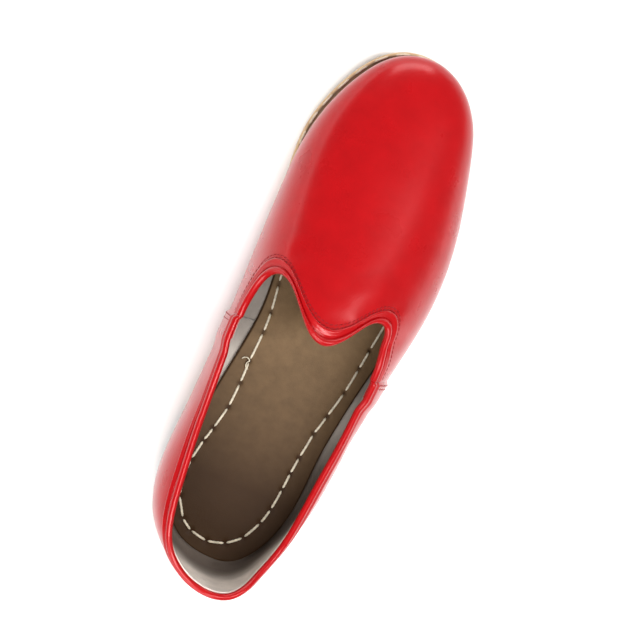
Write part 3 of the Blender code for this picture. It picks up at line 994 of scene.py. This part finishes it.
class SHOE_OT_upper(bpy.types.Operator):
    """Cut and close the vamp and the quarters, and put the lining inside them"""
    bl_idname = "shoe.upper"
    bl_label = "Upper"

    def execute(self, context):
        sizes, colours = context.scene.shoe_sizes, context.scene.shoe_colours
        red = dyed_leather("dyed_calf_upper", colours.upper)
        vamp, quarters = vamp_turns(LAP_WIDTH - VAMP_TRIM), quarter_turns()
        for name, turns, rise in (
                ("vamp", vamp, 0.0), ("quarters", quarters, lap_rise(quarters))):
            wall = shell(wall_layer(turns, 0.0, rise), wall_layer(turns, sizes.leather, rise))
            finish_piece(name, wall, red, ("upper",))
        self.lining(sizes, colours)
        self.lining_seams(sizes, colours)
        return {"FINISHED"}

    def lining(self, sizes, colours):
        """One pale layer all round, thicker at its cut edge round the heel."""
        turns = columns(0, 360)
        inner_seam, outer_seam = seam_turns()
        in_throat = eased((turns - inner_seam) / 2) * eased((outer_seam - turns) / 2)
        cut = LINING_CUT + LINING_CUT_THROAT * in_throat
        thickness = np.full((FINE_ROWS + 1 + BODY_ROWS, len(turns)), sizes.lining)
        from_heel = np.abs(np.mod(turns + 180, 360) - 180)
        at_heel = eased((THICK_EDGE_TURN - from_heel) / THICK_EDGE_FADE)
        fine = FINE_ROWS // 2
        thickness[:fine] += np.outer(
            np.linspace(1, 0, fine), at_heel * (sizes.lining_edge - sizes.lining))
        depth = sizes.leather + GLUE_GAP
        mesh = shell(wall_layer(turns, depth, 0.0, cut),
                     wall_layer(turns, depth + thickness, 0.0, cut), closed=True)
        stain_and_shade = mesh.verts.layers.float.new("stain_and_shade")
        # Painted shade: darkest low on the wall in the heel, dark all over ahead of the waist
        # inside the vamp, and a little low on the wall all round
        for v in mesh.verts:
            low = eased(1 - (v.co.z - insole_top(v.co.y)) / LINING_SHADE_HEIGHT)
            heel_shade = 0.9 * eased(heel_share(v.co.y) * 1.2) * low
            vamp_shade = 0.68 * eased((v.co.y + 0.05) / 0.03)
            v[stain_and_shade] = max(heel_shade, vamp_shade, 0.5 * low)
        material = lining_leather("pigskin_lining", colours.lining, colours.grease_and_shade)
        finish_piece("lining", mesh, material, ("upper",))

    def lining_seams(self, sizes, colours):
        """The corded joins of the lining, down the wall at each side seam."""
        mesh = bmesh.new()
        depth = sizes.leather + GLUE_GAP + sizes.lining
        for turn in behind_seams(LINING_SEAM_BEHIND):
            points = wall_layer(turn, depth, 0.0, LINING_SEAM_TOP)[:-2, 0]
            radii = np.full(len(points), LINING_CORD_RADIUS)
            tube(mesh, points, radii, sides=8, twist=0.0015, ply=0.15)
        material = thread("lining_cord", shade(colours.lining, 0.3)[:3], 0.7, 2.0)
        finish_piece("lining_seams", mesh, material)


class SHOE_OT_bindings(bpy.types.Operator):
    """Fold the red strips over the edge of the throat and of the quarters"""
    bl_idname = "shoe.bindings"
    bl_label = "Bindings"

    def execute(self, context):
        red = dyed_leather("dyed_calf_binding", context.scene.shoe_colours.binding)
        binding("throat_binding", vamp_turns(-BINDING_SHORT), VAMP_PROFILE, VAMP_RETURN, red,
                "vamp_binding")
        binding("collar_binding", quarter_turns(), QUARTER_PROFILE, QUARTER_RETURN, red,
                "quarter_binding")
        return {"FINISHED"}


class SHOE_OT_machine_stitches(bpy.types.Operator):
    """Sew the bindings and the side seams with short red stitches"""
    bl_idname = "shoe.machine_stitches"
    bl_label = "Machine stitches"

    def execute(self, context):
        sizes, colours = context.scene.shoe_sizes, context.scene.shoe_colours
        mesh = bmesh.new()
        for turns, depths in (
                (vamp_turns(-STITCH_SHORT), THROAT_ROWS), (quarter_turns(), COLLAR_ROWS)):
            for depth in depths:
                line, out = face_points(face_paths(turns), np.array([[depth]]), lap_rise(turns))
                stitch_row(mesh, line[0], out[0], sizes, STITCH_SLANT)
        for behind in SEAM_ROWS:
            for turn in behind_seams(behind):
                paths = face_paths(turn)
                marks = np.linspace(SEAM_ROW_TOP, paths[1][-1, 0], SEAM_ROW_POINTS)[:, None]
                line, out = face_points(paths, marks, lap_rise(turn))
                stitch_row(mesh, line[:, 0], out[:, 0], sizes)
        material = thread("polyester_sewing_thread", colours.red_thread, 0.55, 0.6)
        finish_piece("machine_stitches", mesh, material, ())
        return {"FINISHED"}


class SHOE_OT_insole(bpy.types.Operator):
    """Lay the insole with its channel of hand stitches"""
    bl_idname = "shoe.insole"
    bl_label = "Insole"

    def execute(self, context):
        sizes, colours = context.scene.shoe_sizes, context.scene.shoe_colours
        turns = columns(0, 360)
        edge = insole_edge(turns)
        levels = rounded_edge(edge, INSOLE_TOP, 0.0006, 0.00018)
        levels += [(edge + k * MM, INSOLE_TOP) for k in range(1, 14)]
        over = sole_rows(turns, levels, 30, bed)
        plug = edge + MARGIN
        under = sole_rows(
            turns, [(edge, INSOLE_SHELF), (plug, INSOLE_SHELF), (plug, SEAT_GAP)], 30, bed)
        mesh = bmesh.new()
        stain_and_shade = mesh.verts.layers.float.new("stain_and_shade")
        holes = self.holes(sizes)
        verts = grid(mesh, np.array(over[::-1] + under))
        for v in (v for row in verts[:len(over)] for v in row):
            self.press(v, holes, stain_and_shade)
        # Painted shade in the gap against the wall, on the rounded edge, whose three rows come
        # last before the underside
        for v in (v for row in verts[len(over) - 3:len(over)] for v in row):
            v[stain_and_shade] = 0.9
        merge(mesh)
        material = insole_leather("greased_insole_leather", colours.insole, colours.grease_and_shade)
        finish_piece("insole_board", mesh, material, ("insole",))
        self.stitches(sizes, colours, holes)
        return {"FINISHED"}

    def holes(self, sizes):
        """The places where the thread goes down, seen from above: closer together at the heel,
        and never quite even."""
        line = hand_stitch_line()
        run = run_along(line)
        pitch = sizes.hand_pitch * (1 - HEEL_CLOSER * heel_share(line[1:, 1]))
        sewn = np.concatenate(([0], np.cumsum(np.diff(run) / pitch)))
        count = round(sewn[-1])
        places = []
        for i in range(count):
            uneven = 0.12 * math.sin(2.4 * i) + 0.08 * math.sin(5.1 * i + 1)
            stitches = (i + uneven) % count * sewn[-1] / count
            places.append(at_distance(run, line, np.interp(stitches, sewn, run)))
        return places

    def press(self, v, holes, stain_and_shade):
        """Dimples the leather and paints shade into the dimple round the nearest hole, and darkens
        the heel with grease and painted shade.
        """
        near = min((v.co.x - h[0]) ** 2 + (v.co.y - h[1]) ** 2 for h in holes)
        pull = math.exp(-near / DIMPLE_RADIUS ** 2)
        v.co.z -= DIMPLE_DEPTH * pull
        # Painted shade in the dimple, and grease with painted shade toward the heel
        v[stain_and_shade] = min(1.0, 1.4 * pull * pull + 0.95 * heel_share(v.co.y))

    def stitches(self, sizes, colours, holes):
        """Thick waxed thread from hole to hole, pulled down at each end."""
        mesh = bmesh.new()
        radius = sizes.hand_thread / 2
        share, arch, fullness = stitch_shape(HAND_GAP, 22)
        rise = arch ** 0.35 * (HAND_DIP + radius * 0.55) - HAND_DIP
        for hole, after in zip(holes, holes[1:] + holes[:1]):
            points = hole + (after - hole) * share[:, None]
            points[:, 2] = insole_top(points[:, 1]) + rise
            tube(mesh, points, radius * fullness, sides=10, twist=0.0034, ply=0.12)
        for x, y, turn in LOOSE_ENDS:
            hole = min(holes, key=lambda h: math.hypot(h[0] - x * MM, h[1] - y * MM))
            self.loose_end(mesh, hole, turn, radius / 2)
        material = thread("waxed_linen_thread", colours.waxed_thread, 0.6, 2.2)
        finish_piece("insole_stitches", mesh, material)

    def loose_end(self, mesh, hole, turn, radius):
        """A short end of one ply that curls over the leather beside its hole."""
        share = np.linspace(0, 1, 18)
        angle = turn + 2.6 * share
        reach = 0.0016 * (1 + 0.5 * share)
        x = hole[0] - reach[0] * math.cos(turn) + reach * np.cos(angle)
        y = hole[1] - reach[0] * math.sin(turn) + reach * np.sin(angle)
        z = insole_top(hole[1]) + radius + 0.0009 * np.sin(math.pi * share)
        fullness = np.clip((1 - share) * 9, 0, 1) ** 0.5
        tube(mesh, np.stack((x, y, z), axis=-1), radius * fullness, sides=7)


class SHOE_OT_sole(bpy.types.Operator):
    """Cut the leather outsole, give the heel lift its rubber, and sew the rim"""
    bl_idname = "shoe.sole"
    bl_label = "Sole"

    def execute(self, context):
        colours = context.scene.shoe_colours
        turns = columns(0, 360)
        edge = sole_edge(turns)
        levels = rounded_edge(edge, SOLE_THICKNESS, 0.0008, 0.00025)
        over = sole_rows(turns, levels + [(edge + 0.0016, SOLE_THICKNESS)], 20, sole_bottom)
        under = sole_rows(turns, [
            (edge, 0.0012), (edge + 0.0003, 0.0004), (edge + 0.0012, 0.0)], 30, sole_bottom)
        mesh = bmesh.new()
        stain_and_shade = mesh.verts.layers.float.new("stain_and_shade")
        verts = grid(mesh, np.array(over[::-1] + under))
        # The innermost of the rim's four rows gets painted shade, in the corner with the upper
        for v in verts[len(over) - 4]:
            v[stain_and_shade] = 0.8
        merge(mesh)
        material = sole_leather("tanned_sole_leather", colours.sole, colours.grease_and_shade)
        finish_piece("sole", mesh, material, ("outsole",))
        self.rim_stitches(colours, turns, edge)
        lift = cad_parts["heel_lift"]
        lift.data.materials.clear()
        lift.data.materials.append(rubber("heel_rubber", colours.heel))
        return {"FINISHED"}

    def rim_stitches(self, colours, turns, edge):
        """Pale thread in the corner between the rim and the upper."""
        x, y = outline(turns, edge + RIM_LINE_INSET)
        line = np.stack((x, y, bed(y) + 0.0001), axis=-1)
        run = run_along(line)
        count = round(run[-1] / RIM_PITCH)
        share, arch, fullness = stitch_shape(RIM_GAP, 14)
        mesh = bmesh.new()
        for i in range(count):
            points = at_distance(run, line, run[-1] * (i + share) / count)
            points[:, 2] += RIM_ARCH * arch
            tube(mesh, points, RIM_THREAD_RADIUS * fullness, sides=8, twist=0.003, ply=0.1)
        material = thread("waxed_rim_thread", colours.waxed_thread, 0.6, 2.2)
        finish_piece("rim_stitches", mesh, material)


class SHOE_OT_stage(bpy.types.Operator):
    """Set the pale floor, the soft lights and the camera"""
    bl_idname = "shoe.stage"
    bl_label = "Stage"

    def execute(self, context):
        self.floor(context)
        self.surround(context)
        self.lights(context)
        self.camera(context)
        return {"FINISHED"}

    def floor(self, context):
        """A plain pale sheet, far wider than the view."""
        mesh = bmesh.new()
        bmesh.ops.create_grid(mesh, x_segments=8, y_segments=8, size=3.0)
        material, tree, shader, place = blank_material("studio_paper")
        wire(tree, shader, {
            "Base Color": mottled(
                tree, place, context.scene.shoe_colours.floor, 60, 0.99, 1.0),
            "Roughness": 0.9,
        })
        mesh_object("floor", mesh, material)

    def surround(self, context):
        """A white tent: dim overhead and on the outer side, bright low on the inner side and
        ahead of the toe."""
        world = bpy.data.worlds.new("studio")
        context.scene.world = world
        world.use_nodes = True
        tree = world.node_tree
        place = add(tree, "ShaderNodeTexCoord").outputs["Generated"]
        height = add(tree, "ShaderNodeSeparateXYZ", {"Vector": place}).outputs["Z"]
        toward = add(tree, "ShaderNodeVectorMath", {0: place, 1: BRIGHT_SIDE},
                     operation="DOT_PRODUCT").outputs["Value"]
        wall = add(tree, "ShaderNodeMapRange", {
            "Value": height, "From Min": 0.0, "From Max": 0.2, "To Min": 3.0,
            "To Max": 0.0}, interpolation_type="SMOOTHSTEP")
        inner = add(tree, "ShaderNodeMapRange", {
            "Value": toward, "From Min": -0.4, "From Max": 0.45, "To Min": 0.12,
            "To Max": 1.0}, interpolation_type="SMOOTHSTEP")
        bright = add(tree, "ShaderNodeMath", {
            0: wall.outputs["Result"], 1: inner.outputs["Result"], 2: 0.27},
            operation="MULTIPLY_ADD")
        wire(tree, tree.nodes["Background"], {
            "Color": (1, 1, 1, 1), "Strength": bright.outputs["Value"]})

    def lights(self, context):
        """A long soft light on the outer side, a broad one behind the heel, and a low one ahead
        that reaches the back of the opening."""
        for name, width, height, power, place in LIGHTS:
            light = bpy.data.lights.new(name, "AREA")
            light.shape = "RECTANGLE"
            light.size, light.size_y = width, height
            light.energy = power
            lamp = bpy.data.objects.new(name, light)
            lamp.location = place
            aim = Vector(LIGHTS_AIM) - lamp.location
            lamp.rotation_euler = aim.to_track_quat("-Z", "Y").to_euler()
            context.scene.collection.objects.link(lamp)

    def camera(self, context):
        """The photograph's standpoint over the shoe, turned to hold the one shoe."""
        data = bpy.data.cameras.new("camera")
        data.sensor_width = 36
        data.lens = data.sensor_width / 2 / math.tan(math.radians(CAMERA_HALF_ANGLE))
        camera = bpy.data.objects.new("camera", data)
        place = Vector(CAMERA_PLACE)
        forward = (Vector(CAMERA_TARGET) - place).normalized()
        side = forward.cross(Vector(CAMERA_UP)).normalized()
        up = side.cross(forward)
        camera.matrix_world = Matrix.Translation(place) @ Matrix(
            (side, up, -forward)).transposed().to_4x4()
        context.scene.collection.objects.link(camera)
        context.scene.camera = camera
        context.scene.view_settings.view_transform = "Standard"


class SHOE_PT_panel(bpy.types.Panel):
    """The shoe's sizes, colours and steps"""
    bl_idname = "SHOE_PT_panel"
    bl_label = "Slip-on Shoe"
    bl_space_type = "VIEW_3D"
    bl_region_type = "UI"
    bl_category = "Shoe"

    def draw(self, context):
        layout = self.layout
        for group in (context.scene.shoe_sizes, context.scene.shoe_colours):
            box = layout.box()
            for name in group.__annotations__:
                box.prop(group, name)
        for operator in OPERATORS:
            layout.operator(operator.bl_idname)


OPERATORS = (
    SHOE_OT_upper, SHOE_OT_bindings, SHOE_OT_machine_stitches, SHOE_OT_insole, SHOE_OT_sole,
    SHOE_OT_stage,
)
CLASSES = (ShoeSizes, ShoeColours) + OPERATORS + (SHOE_PT_panel,)


def register():
    """Makes the sizes, colours, steps and panel known to Blender."""
    for item in CLASSES:
        bpy.utils.register_class(item)
    bpy.types.Scene.shoe_sizes = bpy.props.PointerProperty(type=ShoeSizes)
    bpy.types.Scene.shoe_colours = bpy.props.PointerProperty(type=ShoeColours)


def unregister():
    """Takes them out again."""
    del bpy.types.Scene.shoe_colours
    del bpy.types.Scene.shoe_sizes
    for item in reversed(CLASSES):
        bpy.utils.unregister_class(item)


def main():
    """Builds the shoe and its stage."""
    register()
    bpy.ops.shoe.upper()
    bpy.ops.shoe.bindings()
    bpy.ops.shoe.machine_stitches()
    bpy.ops.shoe.insole()
    bpy.ops.shoe.sole()
    bpy.ops.shoe.stage()


if __name__ == "__main__":
    main()
